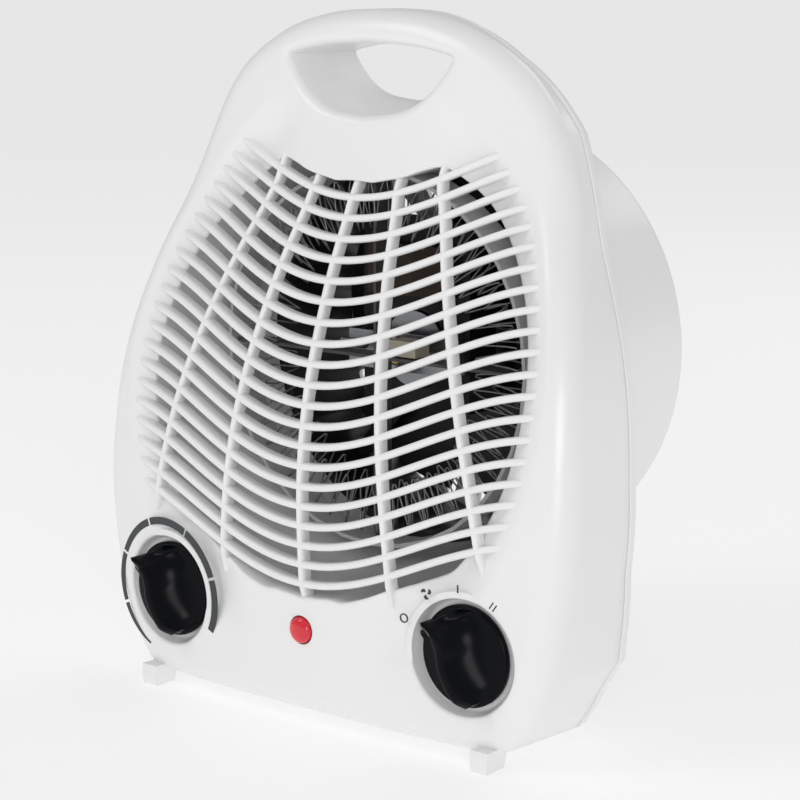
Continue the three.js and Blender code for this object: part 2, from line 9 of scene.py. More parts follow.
import bmesh
import bpy
import numpy as np
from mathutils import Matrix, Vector

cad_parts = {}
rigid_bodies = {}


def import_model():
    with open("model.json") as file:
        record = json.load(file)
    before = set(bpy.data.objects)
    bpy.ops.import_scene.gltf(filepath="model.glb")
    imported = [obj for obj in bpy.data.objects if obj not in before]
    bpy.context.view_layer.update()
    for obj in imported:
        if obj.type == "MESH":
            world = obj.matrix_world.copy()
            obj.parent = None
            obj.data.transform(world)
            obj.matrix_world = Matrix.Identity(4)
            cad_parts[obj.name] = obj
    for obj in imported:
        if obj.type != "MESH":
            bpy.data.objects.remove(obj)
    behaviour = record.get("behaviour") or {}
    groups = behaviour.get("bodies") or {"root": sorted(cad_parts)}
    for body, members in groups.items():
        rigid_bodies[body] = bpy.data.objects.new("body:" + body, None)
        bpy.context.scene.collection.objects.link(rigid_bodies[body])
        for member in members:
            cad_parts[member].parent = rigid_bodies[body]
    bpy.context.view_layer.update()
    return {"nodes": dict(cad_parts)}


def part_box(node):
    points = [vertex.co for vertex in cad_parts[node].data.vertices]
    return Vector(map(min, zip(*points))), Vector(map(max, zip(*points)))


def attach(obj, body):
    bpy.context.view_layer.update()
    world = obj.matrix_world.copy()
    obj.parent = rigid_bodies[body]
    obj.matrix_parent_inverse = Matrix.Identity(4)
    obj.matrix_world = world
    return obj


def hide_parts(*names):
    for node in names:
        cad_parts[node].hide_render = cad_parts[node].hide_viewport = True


for thing in list(bpy.data.objects):  # what a new Blender file starts with
    bpy.data.objects.remove(thing)
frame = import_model()

MM = 0.001
TAU = 2 * math.pi
AXIS_Z = 130  # height of the fan axis
HUB_Z = 125  # centre of the rays that the front shell is built on
WALL = 2.4
EDGE_R = 8.5  # rounding between face and side
REAR_R = 12  # rounding between side and back
# height, and how far each side closes in there from the face to the seam; corners open out instead
SIDE_DRAFT = [(5, -3), (11, -2.5), (19, -3), (35, 1.2), (62, 5.5), (95, 6.5), (135, 5.7), (175, 5),
              (211, 0.5), (226, -3), (239, -6), (249, -5), (255, 0), (300, 0)]
DRAFT_RUN = 30  # the draft comes in over this distance from the centre line
BOTTOM_DROP = 4
DRUM = {"r": 84, "depth": 63.4, "edge": 4, "fillet": 3}
RAYS = 360

# right half of the case outline, floor to top: half width, height
OUTLINE = [(0, 5), (74, 5), (88, 11), (98.5, 30), (106, 62), (108, 95), (104.2, 135), (93.5, 175),
           (80.5, 211), (66.5, 233), (45, 247), (22, 253.5), (0, 255)]
# centre line of the face: height, depth
LEAN = [(0, -56), (37, -56.6), (88, -58.2), (125, -53.4), (161, -41.8), (189, -29.2), (210, -24),
        (238, -21.2), (262, -19.6)]
# right half of the hand opening, bottom to top
HANDLE = [(0, 218), (16.5, 220.3), (27.5, 226.5), (36, 236.8), (33.8, 239.5), (19, 242.2), (0, 243.3)]
HANDLE_TAPER_Z = 240  # the opening tapers towards this height
HANDLE_TAPER = {"front": 0.001, "rear": 0.014}  # part of its size lost for each millimetre back

BARS = {"first": 53.7, "pitch": 7.13, "count": 20, "wave": 13.5, "half_wave": 100, "height": 2.7,
        "depth": 5.0}
RIBS = {"width": 2.5, "drop": 0.3, "depth": 5.0}
OPENING = {"r": 85, "low": 47.5, "high": 195.0}
FADE = {"x": 97, "z": 111, "depth": 6.0}  # ellipse round the opening where the panel starts to dip
DIAL = {"x": 69.4, "z": 38.9, "dish_r": 20.6, "floor": -48.6, "knob_r": 18.0, "crest": -63.4, "turn": 34}
SKIRT = 3.2  # height of a knob's skirt above the dish floor
# a knob's grip: how far its tip overhangs, its offset across, its length over the skirt's, how far it is
# shifted away from the tip, half its crest's width, and how steeply its sides fall and spread
GRIP = {"overhang": 1.2, "aside": -1.4, "length": 0.87, "shift": 0.8, "half_crest": 1.75, "fall": 2.4,
        "spread": 1.3}
DUCT = {"r": 74, "rear": 14}
LAMP = {"z": 36.7, "r": 5}
CORD = {"x": -52, "z": 26, "r": 3.2}
SCREWS = [(83, 66), (62, 207)]


# ---- numbers ----
def clamp(t):
    return min(1.0, max(0.0, t))


def lerp(a, b, t):
    return a + (b - a) * t


def smooth(low, high, v):
    t = clamp((v - low) / (high - low))
    return t * t * (3 - 2 * t)


def spline(points, count):
    """count + 1 points along the smooth curve through points."""
    out = []
    for i in range(count + 1):
        u = i / count * (len(points) - 1)
        k = min(int(u), len(points) - 2)
        t = u - k
        a, b, c, d = (points[min(len(points) - 1, max(0, k + j))] for j in (-1, 0, 1, 2))
        out.append(tuple(
            0.5 * (2 * b[m] + (c[m] - a[m]) * t + (2 * a[m] - 5 * b[m] + 4 * c[m] - d[m]) * t * t
                   + (3 * b[m] - a[m] - 3 * c[m] + d[m]) * t * t * t)
            for m in range(len(b))))
    return out


LEAN_CURVE = spline(LEAN, 200)


def lean(z):
    for (za, ya), (zb, yb) in zip(LEAN_CURVE, LEAN_CURVE[1:]):
        if zb >= z:
            return lerp(ya, yb, clamp((z - za) / (zb - za)))
    return LEAN_CURVE[-1][1]


def side_draft(z):
    heights, amounts = zip(*SIDE_DRAFT)
    return float(np.interp(z, heights, amounts))


def face_y(x, z):
    return lean(z) + (0.0006 + 0.0004 * clamp((z - 40) / 60)) * x * x


def wave(x):
    return BARS["wave"] * (1 - math.cos(math.pi * x / BARS["half_wave"]))


def rib_x(k, z):
    return k * (39.5 - 21 * clamp((z - 50) / 145) ** 1.4)


def mirror_loop(half):
    """A whole loop from its right half, anticlockwise in (x, z)."""
    return half + [(-x, z) for x, z in reversed(half[1:-1])]


CASE_LOOP = mirror_loop(spline(OUTLINE, 240))


def ray_hit(loop, centre_z, angle):
    """The point where the ray from (0, centre_z) at angle crosses loop."""
    dx, dz = math.cos(angle), math.sin(angle)
    for (ax, az), (bx, bz) in zip(loop, loop[1:] + loop[:1]):
        sa = dx * (az - centre_z) - dz * ax
        sb = dx * (bz - centre_z) - dz * bx
        if sa * sb <= 0 and sa != sb:
            t = sa / (sa - sb)
            x, z = lerp(ax, bx, t), lerp(az, bz, t)
            if x * dx + (z - centre_z) * dz > 0:
                return x, z
    raise ValueError("the ray misses the outline")


def half_width(z):
    """Of the case outline at height z."""
    right = CASE_LOOP[:len(CASE_LOOP) // 2]
    for (xa, za), (xb, zb) in zip(right, right[1:]):
        if za <= z <= zb:
            return lerp(xa, xb, (z - za) / (zb - za + 1e-9))
    return 0.0


def normals(loop):
    out = []
    for i in range(len(loop)):
        ax, az = loop[i - 1]
        bx, bz = loop[(i + 1) % len(loop)]
        size = math.hypot(bx - ax, bz - az)
        out.append(((bz - az) / size, -(bx - ax) / size))
    return out


def grown(loop, amount):
    return [(x + nx * amount, z + nz * amount) for (x, z), (nx, nz) in zip(loop, normals(loop))]


# ---- meshes ----
def skin(rings, caps=(True, True), ring_loop=False):
    """Points and faces of a surface through rings of equal length."""
    n = len(rings[0])
    points = [p for ring in rings for p in ring]
    faces = []
    pairs = list(zip(range(len(rings)), range(1, len(rings))))
    if ring_loop:
        pairs.append((len(rings) - 1, 0))
    for a, b in pairs:
        for i in range(n):
            j = (i + 1) % n
            faces.append((a * n + i, a * n + j, b * n + j, b * n + i))
    for wanted, ring_index in zip(caps, (0, len(rings) - 1)):
        if not wanted or ring_loop:
            continue
        ring = rings[ring_index]
        middle = tuple(sum(p[m] for p in ring) / n for m in range(3))
        points.append(middle)
        c = len(points) - 1
        faces += [(c, ring_index * n + (i + 1) % n, ring_index * n + i) if ring_index == 0 else
                  (c, ring_index * n + i, ring_index * n + (i + 1) % n) for i in range(n)]
    return points, faces


def merge(parts):
    points, faces = [], []
    for p, f in parts:
        faces += [tuple(i + len(points) for i in face) for face in f]
        points += p
    return points, faces


def build(name, part, material=None, crease=40):
    points, faces = part
    mesh = bpy.data.meshes.new(name)
    mesh.from_pydata([tuple(c * MM for c in p) for p in points], [], faces)
    mesh.update()
    made = bpy.data.objects.new(name, mesh)
    bpy.context.scene.collection.objects.link(made)
    face_out(mesh)
    finish_shading(mesh, crease)
    if material:
        mesh.materials.append(material)
    return made


def face_out(mesh):
    bm = bmesh.new()
    bm.from_mesh(mesh)
    bmesh.ops.recalc_face_normals(bm, faces=bm.faces)
    bm.to_mesh(mesh)
    bm.free()


def finish_shading(mesh, crease):
    mesh.shade_smooth()
    mesh.set_sharp_from_angle(angle=math.radians(crease))


def boolean(target, tool_part, operation):
    tool = build("tool", tool_part)
    change = target.modifiers.new("cut", "BOOLEAN")
    change.object = tool
    change.operation = operation
    change.solver = "EXACT"
    settle(target)
    bpy.data.objects.remove(tool)


def settle(target):
    """Makes the modifiers' result the object's own mesh."""
    deps = bpy.context.evaluated_depsgraph_get()
    result = bpy.data.meshes.new_from_object(target.evaluated_get(deps))
    target.modifiers.clear()
    old = target.data
    target.data = result
    bpy.data.meshes.remove(old)


def own(piece, body, slot, *replaced):
    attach(piece, body)
    if replaced:
        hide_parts(*replaced)
    return piece


def lathe(profile, x, z, sides=48):
    """A solid of revolution about an axis along Y at (x, z), from a profile of (radius, y)."""
    rings = []
    for r, y in profile:
        rings.append([(px, y, pz) for px, pz in circle(x, z, max(r, 0.01), sides)])
    return skin(rings)


def arc(radius, start, end, steps):
    return [(radius * math.cos(math.radians(lerp(start, end, i / steps))),
             radius * math.sin(math.radians(lerp(start, end, i / steps)))) for i in range(steps + 1)]


# ---- materials ----
def material(name, colour, rough, metal=0.0, grain=600.0, bump=0.05, blotch=0.03, coat=0.0, transmission=0.0,
             shine=0.5):
    """A moulded or metal surface: fine grain in the bump, uneven gloss, and slow drift in its colour."""
    made = bpy.data.materials.new(name)
    made.use_nodes = True
    nodes, links = made.node_tree.nodes, made.node_tree.links
    base = nodes["Principled BSDF"]
    base.inputs["Metallic"].default_value = metal
    base.inputs["Specular IOR Level"].default_value = shine
    base.inputs["Coat Weight"].default_value = coat
    base.inputs["Coat Roughness"].default_value = 0.12
    base.inputs["Transmission Weight"].default_value = transmission
    where = nodes.new("ShaderNodeTexCoord")
    fine = nodes.new("ShaderNodeTexNoise")
    fine.inputs["Scale"].default_value = grain
    fine.inputs["Detail"].default_value = 3
    slow = nodes.new("ShaderNodeTexNoise")
    slow.inputs["Scale"].default_value = 14
    slow.inputs["Detail"].default_value = 5
    for noise in (fine, slow):
        links.new(where.outputs["Object"], noise.inputs["Vector"])
    tint = nodes.new("ShaderNodeMapRange")
    tint.inputs["To Min"].default_value = 1 - blotch
    tint.inputs["To Max"].default_value = 1 + blotch
    links.new(slow.outputs["Fac"], tint.inputs["Value"])
    mix = nodes.new("ShaderNodeVectorMath")
    mix.operation = "SCALE"
    mix.inputs[0].default_value = colour
    links.new(tint.outputs["Result"], mix.inputs["Scale"])
    links.new(mix.outputs["Vector"], base.inputs["Base Color"])
    gloss = nodes.new("ShaderNodeMapRange")
    gloss.inputs["To Min"].default_value = rough * 0.8
    gloss.inputs["To Max"].default_value = rough * 1.25
    links.new(slow.outputs["Fac"], gloss.inputs["Value"])
    links.new(gloss.outputs["Result"], base.inputs["Roughness"])
    relief = nodes.new("ShaderNodeBump")
    relief.inputs["Strength"].default_value = bump
    relief.inputs["Distance"].default_value = 0.0002
    links.new(fine.outputs["Fac"], relief.inputs["Height"])
    links.new(relief.outputs["Normal"], base.inputs["Normal"])
    return made


def brushed(made, stretch):
    """Draws the grain of a material out along one axis, as on rolled or turned metal."""
    nodes, links = made.node_tree.nodes, made.node_tree.links
    fine = next(n for n in nodes if n.type == "TEX_NOISE")
    where = next(n for n in nodes if n.type == "TEX_COORD")
    scale = nodes.new("ShaderNodeMapping")
    scale.inputs["Scale"].default_value = stretch
    links.new(where.outputs["Object"], scale.inputs["Vector"])
    links.new(scale.outputs["Vector"], fine.inputs["Vector"])
    return made


WHITE = material("white_abs", (0.86, 0.86, 0.86), 0.30, grain=900, bump=0.06, blotch=0.012, coat=0.15)
# the same white plastic made darker for the heater frame inside the case: painted shade, not a different
# plastic
SHADED_WHITE = material("white_abs_painted_shade", (0.62, 0.62, 0.62), 0.5, grain=900, bump=0.08, blotch=0.03)
BLACK = material("black_knob", (0.002, 0.0025, 0.004), 0.24, grain=700, bump=0.05, blotch=0.2, shine=0.1)
INK = material("dial_ink", (0.045, 0.05, 0.055), 0.55, grain=2500, bump=0.1, blotch=0.2)
RED = material("red_lens", (0.80, 0.008, 0.03), 0.08, grain=300, bump=0.02, blotch=0.1, coat=0.6,
               transmission=0.15)
DARK = material("dark_nylon", (0.012, 0.012, 0.014), 0.32, grain=800, bump=0.12, blotch=0.25)
STEEL = brushed(material("steel", (0.42, 0.43, 0.45), 0.30, 1.0, 500, 0.15, 0.12), (1, 12, 1))
BLACK_STEEL = brushed(material("black_steel", (0.03, 0.03, 0.034), 0.4, 0.8, 500, 0.15, 0.2), (1, 12, 1))
COPPER = brushed(material("copper", (0.05, 0.03, 0.02), 0.4, 0.3, 900, 0.6, 0.2), (6, 1, 1))
BRONZE = material("bronze", (0.55, 0.40, 0.18), 0.3, 1.0, 700, 0.1, 0.15)
MICA = material("mica", (0.10, 0.095, 0.085), 0.45, 0.0, 350, 0.4, 0.25)
CREAM = material("cream_insulator", (0.55, 0.50, 0.40), 0.5, 0.0, 700, 0.2, 0.08)
PHENOLIC = material("phenolic", (0.09, 0.045, 0.02), 0.4, 0.0, 500, 0.2, 0.3)
WIRE = material("heating_wire", (0.30, 0.30, 0.31), 0.35, 1.0, 900, 0.2, 0.25)
RUBBER = material("cord_rubber", (0.012, 0.012, 0.012), 0.55, 0.0, 900, 0.25, 0.2)


# ---- case shells ----
class CaseRays:
    """The case outline seen from a point on its centre line, with true insets of it along the same rays."""

    def __init__(self, centre_z):
        self.centre = np.array((0.0, centre_z))
        self.loop = [ray_hit(CASE_LOOP, centre_z, TAU * i / RAYS) for i in range(RAYS)]
        offsets = np.array(self.loop) - self.centre
        self.reach = np.hypot(offsets[:, 0], offsets[:, 1])
        self.directions = offsets / self.reach[:, None]
        starts = np.array(CASE_LOOP)
        self.starts, self.spans = starts, np.roll(starts, -1, axis=0) - starts
        self.kept = {}

    def distance(self, points):
        """From each point to the nearest part of the outline."""
        to = points[:, None, :] - self.starts[None]
        along = np.clip((to * self.spans).sum(2) / np.maximum((self.spans ** 2).sum(1), 1e-9), 0, 1)
        return np.linalg.norm(to - along[:, :, None] * self.spans, axis=2).min(1)

    def inset(self, amount):
        if amount < 0.01:
            return self.loop
        key = round(amount, 4)
        if key not in self.kept:
            low, high = np.zeros(RAYS), self.reach.copy()
            for _ in range(16):
                middle = (low + high) / 2
                inside = self.distance(self.centre + self.directions * middle[:, None]) > amount
                low, high = np.where(inside, middle, low), np.where(inside, high, middle)
            self.kept[key] = [tuple(map(float, p)) for p in self.centre + self.directions * low[:, None]]
        return self.kept[key]


def case_ring(rays, inset, seam, depth):
    """The outline moved in by inset; towards the seam the sides close in and the underside drops."""
    out = []
    for x, z in rays.inset(inset):
        px = x - math.copysign(side_draft(z) * min(1, abs(x) / DRAFT_RUN), x) * seam
        pz = z - BOTTOM_DROP * seam * clamp(1 - (z - 5) / 20)
        out.append((px, depth(px, pz), pz))
    return out


def opening_loop(grow=0.0):
    """The grille opening: a circle whose top and bottom are trimmed by the bars' wave."""
    loop = []
    for i in range(RAYS):
        a = TAU * i / RAYS
        r = OPENING["r"] + grow
        for _ in range(60):
            x, z = r * math.cos(a), HUB_Z + r * math.sin(a)
            if OPENING["low"] + wave(x) - grow <= z <= OPENING["high"] + wave(x) + grow:
                break
            r -= 1.5
        loop.append((r * math.cos(a), HUB_Z + r * math.sin(a)))
    for _ in range(4):
        loop = [tuple((loop[i - 1][m] + 2 * loop[i][m] + loop[(i + 1) % RAYS][m]) / 4 for m in (0, 1))
                for i in range(RAYS)]
    return loop


def dip(x, z):
    """How far the panel falls away beside the grille, so that the bars stand out as ridges."""
    q = math.hypot(x / FADE["x"], (z - HUB_Z) / FADE["z"])
    return FADE["depth"] * smooth(1.0, 0.84, q) * smooth(24, 58, abs(x))


def panel_y(x, z):
    return face_y(x, z) + dip(x, z)


def round_ring(r, y):
    """A ring about the fan axis, with one point for each ray."""
    return [(r * math.cos(TAU * i / RAYS), y, AXIS_Z + r * math.sin(TAU * i / RAYS)) for i in range(RAYS)]


def duct_ring(r):
    return round_ring(r, DUCT["rear"])


LIP_R = 1.2  # rounding of the grille opening's edge


def halfway(ring, other):
    return [tuple(lerp(a[m], b[m], 0.5) for m in range(3)) for a, b in zip(ring, other)]


def mouth_rings(mouth):
    """The duct's throat, and the rounded lip that it widens to."""
    throat = duct_ring(DUCT["r"])
    deep = [(x, panel_y(x, z) + 5, z) for x, z in mouth]
    rings = [throat, halfway(throat, deep), deep]
    for a in (0, 30, 60, 90):
        turn = math.radians(a)
        out = grown(mouth, LIP_R * (1 - math.cos(turn)))
        rings.append([(x, panel_y(x, z) + LIP_R * (1 - math.sin(turn)), z) for x, z in out])
    return rings


def panel_rings(start, edge, steps=26):
    """The face between the lip and the rounding to the sides, with its rings closer together near the lip."""
    rings = []
    for s in range(1, steps + 1):
        t = (s / steps) ** 1.15
        ring = []
        for (ax, az), (bx, _, bz) in zip(start, edge):
            x, z = lerp(ax, bx, t), lerp(az, bz, t)
            ring.append((x, panel_y(x, z), z))
        rings.append(ring)
    return rings


def side_rings(rays):
    """Round the edge of the face and back along the sides to the seam."""
    early = 0.03  # the share of the draft that the rounded edge already has
    rings = []
    for a in (15, 30, 45, 60, 75, 90):
        turn = math.radians(a)
        rise = EDGE_R * (1 - math.cos(turn))
        rings.append(case_ring(rays, EDGE_R * (1 - math.sin(turn)), early,
                               lambda x, z, r=rise: face_y(x, z) + r))
    for s in range(1, 8):
        t = s / 8
        rings.append(case_ring(rays, 0, early + (1 - early) * t,
                               lambda x, z, t=t: lerp(face_y(x, z) + EDGE_R, -0.6, t)))
    for inset, depth in ((0, -0.7), (0.35, -0.15), (WALL, -0.15)):
        rings.append(case_ring(rays, inset, 1, lambda x, z, y=depth: y))
    return rings


def front_inside_rings(rays, mouth):
    """From the seam forwards inside the walls, then in behind the panel to the outside of the duct."""
    rings = []
    for s in range(1, 5):
        t = s / 5
        rings.append(case_ring(rays, WALL, 1 - t,
                               lambda x, z, t=t: lerp(-0.15, face_y(x, z) + EDGE_R, t)))
    rings.append(case_ring(rays, WALL + 2.6, 0, lambda x, z: face_y(x, z) + WALL + 1.8))
    inner_edge = case_ring(rays, EDGE_R, 0, lambda x, z: face_y(x, z) + WALL)
    rings.append(inner_edge)
    back = [(x, panel_y(x, z) + 6, z) for x, z in grown(mouth, WALL)]
    for t in (0.2, 0.4, 0.6, 0.8, 0.93):
        ring = []
        for (ax, _, az), (bx, _, bz) in zip(inner_edge, back):
            x, z = lerp(ax, bx, t), lerp(az, bz, t)
            ring.append((x, panel_y(x, z) + WALL + 1.2 * t, z))
        rings.append(ring)
    return rings + [back, duct_ring(DUCT["r"] + WALL)]


def front_shell():
    rays = CaseRays(HUB_Z)
    mouth = opening_loop()
    edge = case_ring(rays, EDGE_R, 0, face_y)
    rings = mouth_rings(mouth) + panel_rings(grown(mouth, LIP_R), edge)
    rings += side_rings(rays) + front_inside_rings(rays, mouth)
    return skin(rings, ring_loop=True)


HANDLE_LOOP = mirror_loop(spline(HANDLE, 48))


def handle_loop(grow, y):
    scale = 1 - HANDLE_TAPER["front" if y < 0 else "rear"] * y
    return [(x * scale, lerp(HANDLE_TAPER_Z, z, scale)) for x, z in grown(HANDLE_LOOP, grow)]


def handle_cutter(front):
    """The hand opening as a solid, flared so that it leaves a rounded rim on the face or the back."""
    rings = []
    surface = (lambda x, z: face_y(x, z)) if front else (lambda x, z: REAR_R)
    sign, radius = (1, 3.5) if front else (-1, 1.5)
    rings.append([(x, surface(x, z) - sign * 6, z) for x, z in handle_loop(radius + 2, -22 if front else 12)])
    for a in (0, 18, 36, 54, 72, 90):
        turn = math.radians(a)
        grow, deep = radius * (1 - math.sin(turn)), radius * (1 - math.cos(turn))
        here = handle_loop(grow, -20 if front else 12)
        rings.append([(x, surface(x, z) + sign * (deep - 0.02), z) for x, z in here])
    for y in ((-12, -5, 5) if front else (6, 2, -5)):
        rings.append([(x, y, z) for x, z in handle_loop(0, y)])
    return skin(rings)


def handle_wall(front):
    ys = (-0.15, -6, -14) if front else (0.15, 5, 9)
    rings = [[(x, y, z) for x, z in handle_loop(WALL, y)] for y in ys]
    if front:
        rings.append([(x, face_y(x, z) + 1.0, z) for x, z in handle_loop(WALL, -20)])
    else:
        rings.append([(x, REAR_R - 1.0, z) for x, z in handle_loop(WALL, 12)])
    return skin(rings)


def circle(x, z, r, sides=96):
    return [(x + r * math.cos(TAU * i / sides), z + r * math.sin(TAU * i / sides)) for i in range(sides)]


def dish_cutter(sign):
    rim, corner = 1.4, 1.2
    mouth = circle(sign * DIAL["x"], DIAL["z"], DIAL["dish_r"] + rim + 1.5)
    rings = [[(x, face_y(x, z) - 6, z) for x, z in mouth]]
    for a in (0, 22, 45, 68, 90):
        turn = math.radians(a)
        loop = circle(sign * DIAL["x"], DIAL["z"], DIAL["dish_r"] + rim * (1 - math.sin(turn)))
        rings.append([(x, face_y(x, z) + rim * (1 - math.cos(turn)) - 0.02, z) for x, z in loop])
    for a in (0, 30, 60, 90):
        turn = math.radians(a)
        r = DIAL["dish_r"] - 0.5 - corner * (1 - math.cos(turn))
        rings.append([(x, DIAL["floor"] - corner * (1 - math.sin(turn)), z)
                      for x, z in circle(sign * DIAL["x"], DIAL["z"], r)])
    return skin(rings)


def dish_cup(sign):
    r = DIAL["dish_r"] + WALL
    low = [(x, DIAL["floor"] + WALL, z) for x, z in circle(sign * DIAL["x"], DIAL["z"], r)]
    high = [(x, face_y(x, z) + 1.0, z) for x, z in circle(sign * DIAL["x"], DIAL["z"], r)]
    return skin([low, high])


def front_foot(sign):
    """A small foot under the front edge, a little wider at the top than at the floor."""
    x = sign * 78.6
    rings = []
    for z, half, front, back in ((0, 2.9, -54.6, -45.4), (0.4, 3.3, -55, -45), (4, 3.6, -55.6, -44.4),
                                 (8, 3.8, -55, -44)):
        rings.append([(x + half, front, z), (x + half, back, z), (x - half, back, z), (x - half, front, z)])
    return skin(rings)


def make_front_cover():
    cover = build("front_cover_finished", front_shell(), WHITE, 35)
    adds = [handle_wall(True)] + [dish_cup(s) for s in (-1, 1)] + [front_foot(s) for s in (-1, 1)]
    for part in adds:
        boolean(cover, part, "UNION")
    lamp_hole = lathe([(LAMP["r"] + 0.35, -70), (LAMP["r"] + 0.35, -40)], 0, LAMP["z"])
    for part in [handle_cutter(True)] + [dish_cutter(s) for s in (-1, 1)] + [lamp_hole]:
        boolean(cover, part, "DIFFERENCE")
    finish_shading(cover.data, 35)
    return own(cover, "casing", "shell", "front_cover")


# ---- grille ----
def bar(z0):
    """One wave bar; past the opening it sinks into the panel, so that it fades out as a ridge."""
    reach = 6.0
    while (math.hypot(reach / FADE["x"], (z0 + wave(reach) - HUB_Z) / FADE["z"]) < 1.03
           and reach < half_width(z0 + wave(reach)) - EDGE_R - 1.0):
        reach += 1.0
    stations = []
    count = max(12, 2 * int(reach / 3))
    for i in range(count + 1):
        x = lerp(-reach, reach, i / count)
        z = z0 + wave(x)
        q = math.hypot(x / FADE["x"], (z - HUB_Z) / FADE["z"])
        sink = 1.6 * smooth(0.86, 1.03, q) + 1.6 * smooth(reach - 9, reach, abs(x))
        turn = math.pi / BARS["half_wave"]
        slope = math.atan(BARS["wave"] * turn * math.sin(turn * x))
        half = BARS["height"] / 2
        ring = []
        for u, d in SECTION:
            ring.append((x - u * half * math.sin(slope), face_y(x, z) + sink + d * BARS["depth"],
                         z + u * half * math.cos(slope)))
        stations.append(ring)
    return skin(stations)


# bar section: across from -1 to 1, and depth from 0 at the front to 1 at the back
SECTION = [(-0.35, 0.0), (-0.75, 0.07), (-0.97, 0.22), (-1.0, 0.45), (-0.8, 1.0),
           (0.8, 1.0), (1.0, 0.45), (0.97, 0.22), (0.75, 0.07), (0.35, 0.0)]


def rib(k):
    low = BARS["first"] - 8 + 5.5 * k * k
    high = OPENING["high"] + wave(rib_x(k, 195)) + 0.5
    stations = []
    for i in range(41):
        z = lerp(low, high, i / 40)
        x = rib_x(k, z)
        sink = 1.8 * (smooth(0.06, 0.0, i / 40) + smooth(0.95, 1.0, i / 40))
        front = face_y(x, z) + RIBS["drop"] + sink
        stations.append([(x + u * RIBS["width"] / 2, front + d * RIBS["depth"], z) for u, d in SECTION])
    return skin(stations)


def make_grille():
    bars = [bar(BARS["first"] + k * BARS["pitch"]) for k in range(BARS["count"])]
    grille = build("grille_bars", merge(bars + [rib(k) for k in range(-2, 3)]), WHITE, 50)
    return own(grille, "casing", "shell")


# ---- rear cover ----
def rear_outside_rings(rays):
    """From the seam round the edge of the back, in to the fillet at the foot of the drum."""
    rings = [case_ring(rays, inset, 1, lambda x, z, y=depth: y)
             for inset, depth in ((WALL, 0.15), (0.35, 0.15), (0, 0.7))]
    for a in range(0, 91, 10):
        turn = math.radians(a)
        rings.append(case_ring(rays, REAR_R * (1 - math.cos(turn)), 1,
                               lambda x, z, t=turn: max(0.7, REAR_R * math.sin(t))))
    base = round_ring(DRUM["r"] + DRUM["fillet"], REAR_R)
    flat = rings[-1]
    for t in (0.5, 1.0):
        rings.append([(lerp(ax, bx, t), REAR_R, lerp(az, bz, t))
                      for (ax, _, az), (bx, _, bz) in zip(flat, base)])
    for a in (30, 60, 90):
        turn = math.radians(a)
        rings.append(round_ring(DRUM["r"] + DRUM["fillet"] * (1 - math.sin(turn)),
                                REAR_R + DRUM["fillet"] * (1 - math.cos(turn))))
    return rings


def drum_rings():
    """The drum's wall, its rounded edge, the shallow steps of its end, and the inside of both."""
    edge, end = DRUM["edge"], DRUM["depth"]
    outer = DRUM["r"] - 0.6  # the drum's wall closes in this much on its way back
    rings = [round_ring(outer, end - edge)]
    for a in (20, 40, 60, 80, 90):
        turn = math.radians(a)
        rings.append(round_ring(outer - edge * (1 - math.cos(turn)), end - edge * (1 - math.sin(turn))))
    # radius of each step, and how far it is sunk
    for r, sunk in ((77, 0), (76, 0.6), (44, 0.6), (43, 0), (18, 0), (17, 1.0), (3, 1.0)):
        rings.append(round_ring(r, end - sunk))
    for r in (3, 40, outer - WALL):
        rings.append(round_ring(r, end - WALL - 0.6))
    rings.append(round_ring(DRUM["r"] - WALL, REAR_R - WALL))
    return rings


def rear_inside_rings(rays):
    """Inside the back, no nearer the axis than the drum's wall, and out to the seam."""
    inner = case_ring(rays, REAR_R, 1, lambda x, z: REAR_R - WALL)
    drum = round_ring(DRUM["r"] - WALL + 0.2, REAR_R - WALL)
    rings = [[a if math.hypot(a[0], a[2] - AXIS_Z) > DRUM["r"] else b for a, b in zip(inner, drum)]]
    for a in (60, 30, 0):
        turn = math.radians(a)
        rings.append(case_ring(rays, WALL + (REAR_R - WALL) * (1 - math.cos(turn)), 1,
                               lambda x, z, t=turn: max(0.15, (REAR_R - WALL) * math.sin(t))))
    return rings


def rear_shell():
    rays = CaseRays(AXIS_Z)
    return skin(rear_outside_rings(rays) + drum_rings() + rear_inside_rings(rays), ring_loop=True)


def slot_cutter(inner, outer, width, angle):
    """A rounded slot through the drum's back, along a radius."""
    half = width / 2
    outline = [(outer - half + x, z) for x, z in arc(half, -90, 90, 6)]
    outline += [(inner + half + x, z) for x, z in arc(half, 90, 270, 6)]
    c, s = math.cos(angle), math.sin(angle)
    loop = [(x * c - z * s, AXIS_Z + x * s + z * c) for x, z in outline]
    return skin([[(x, y, z) for x, z in loop] for y in (DRUM["depth"] - 8, DRUM["depth"] + 4)])


def make_rear_cover():
    cover = build("rear_cover_finished", rear_shell(), WHITE, 35)
    boolean(cover, handle_wall(False), "UNION")
    boolean(cover, handle_cutter(False), "DIFFERENCE")
    slots = [slot_cutter(46, 75, 4, TAU * (i + 0.5) / 28) for i in range(28)]
    slots += [slot_cutter(19, 41, 4, TAU * (i + 0.5) / 14) for i in range(14)]
    boolean(cover, merge(slots), "DIFFERENCE")
    finish_shading(cover.data, 35)
    return own(cover, "casing", "shell", "rear_cover")


# ---- controls ----
def knob_skirt(radius, top):
    seat = DIAL["floor"] - 0.5
    return lathe([(0, seat), (radius - 0.3, seat), (radius, seat - 0.4), (radius, top + 0.7),
                  (radius - 0.3, top + 0.2), (radius - 0.9, top), (0, top)], 0, 0, 96)


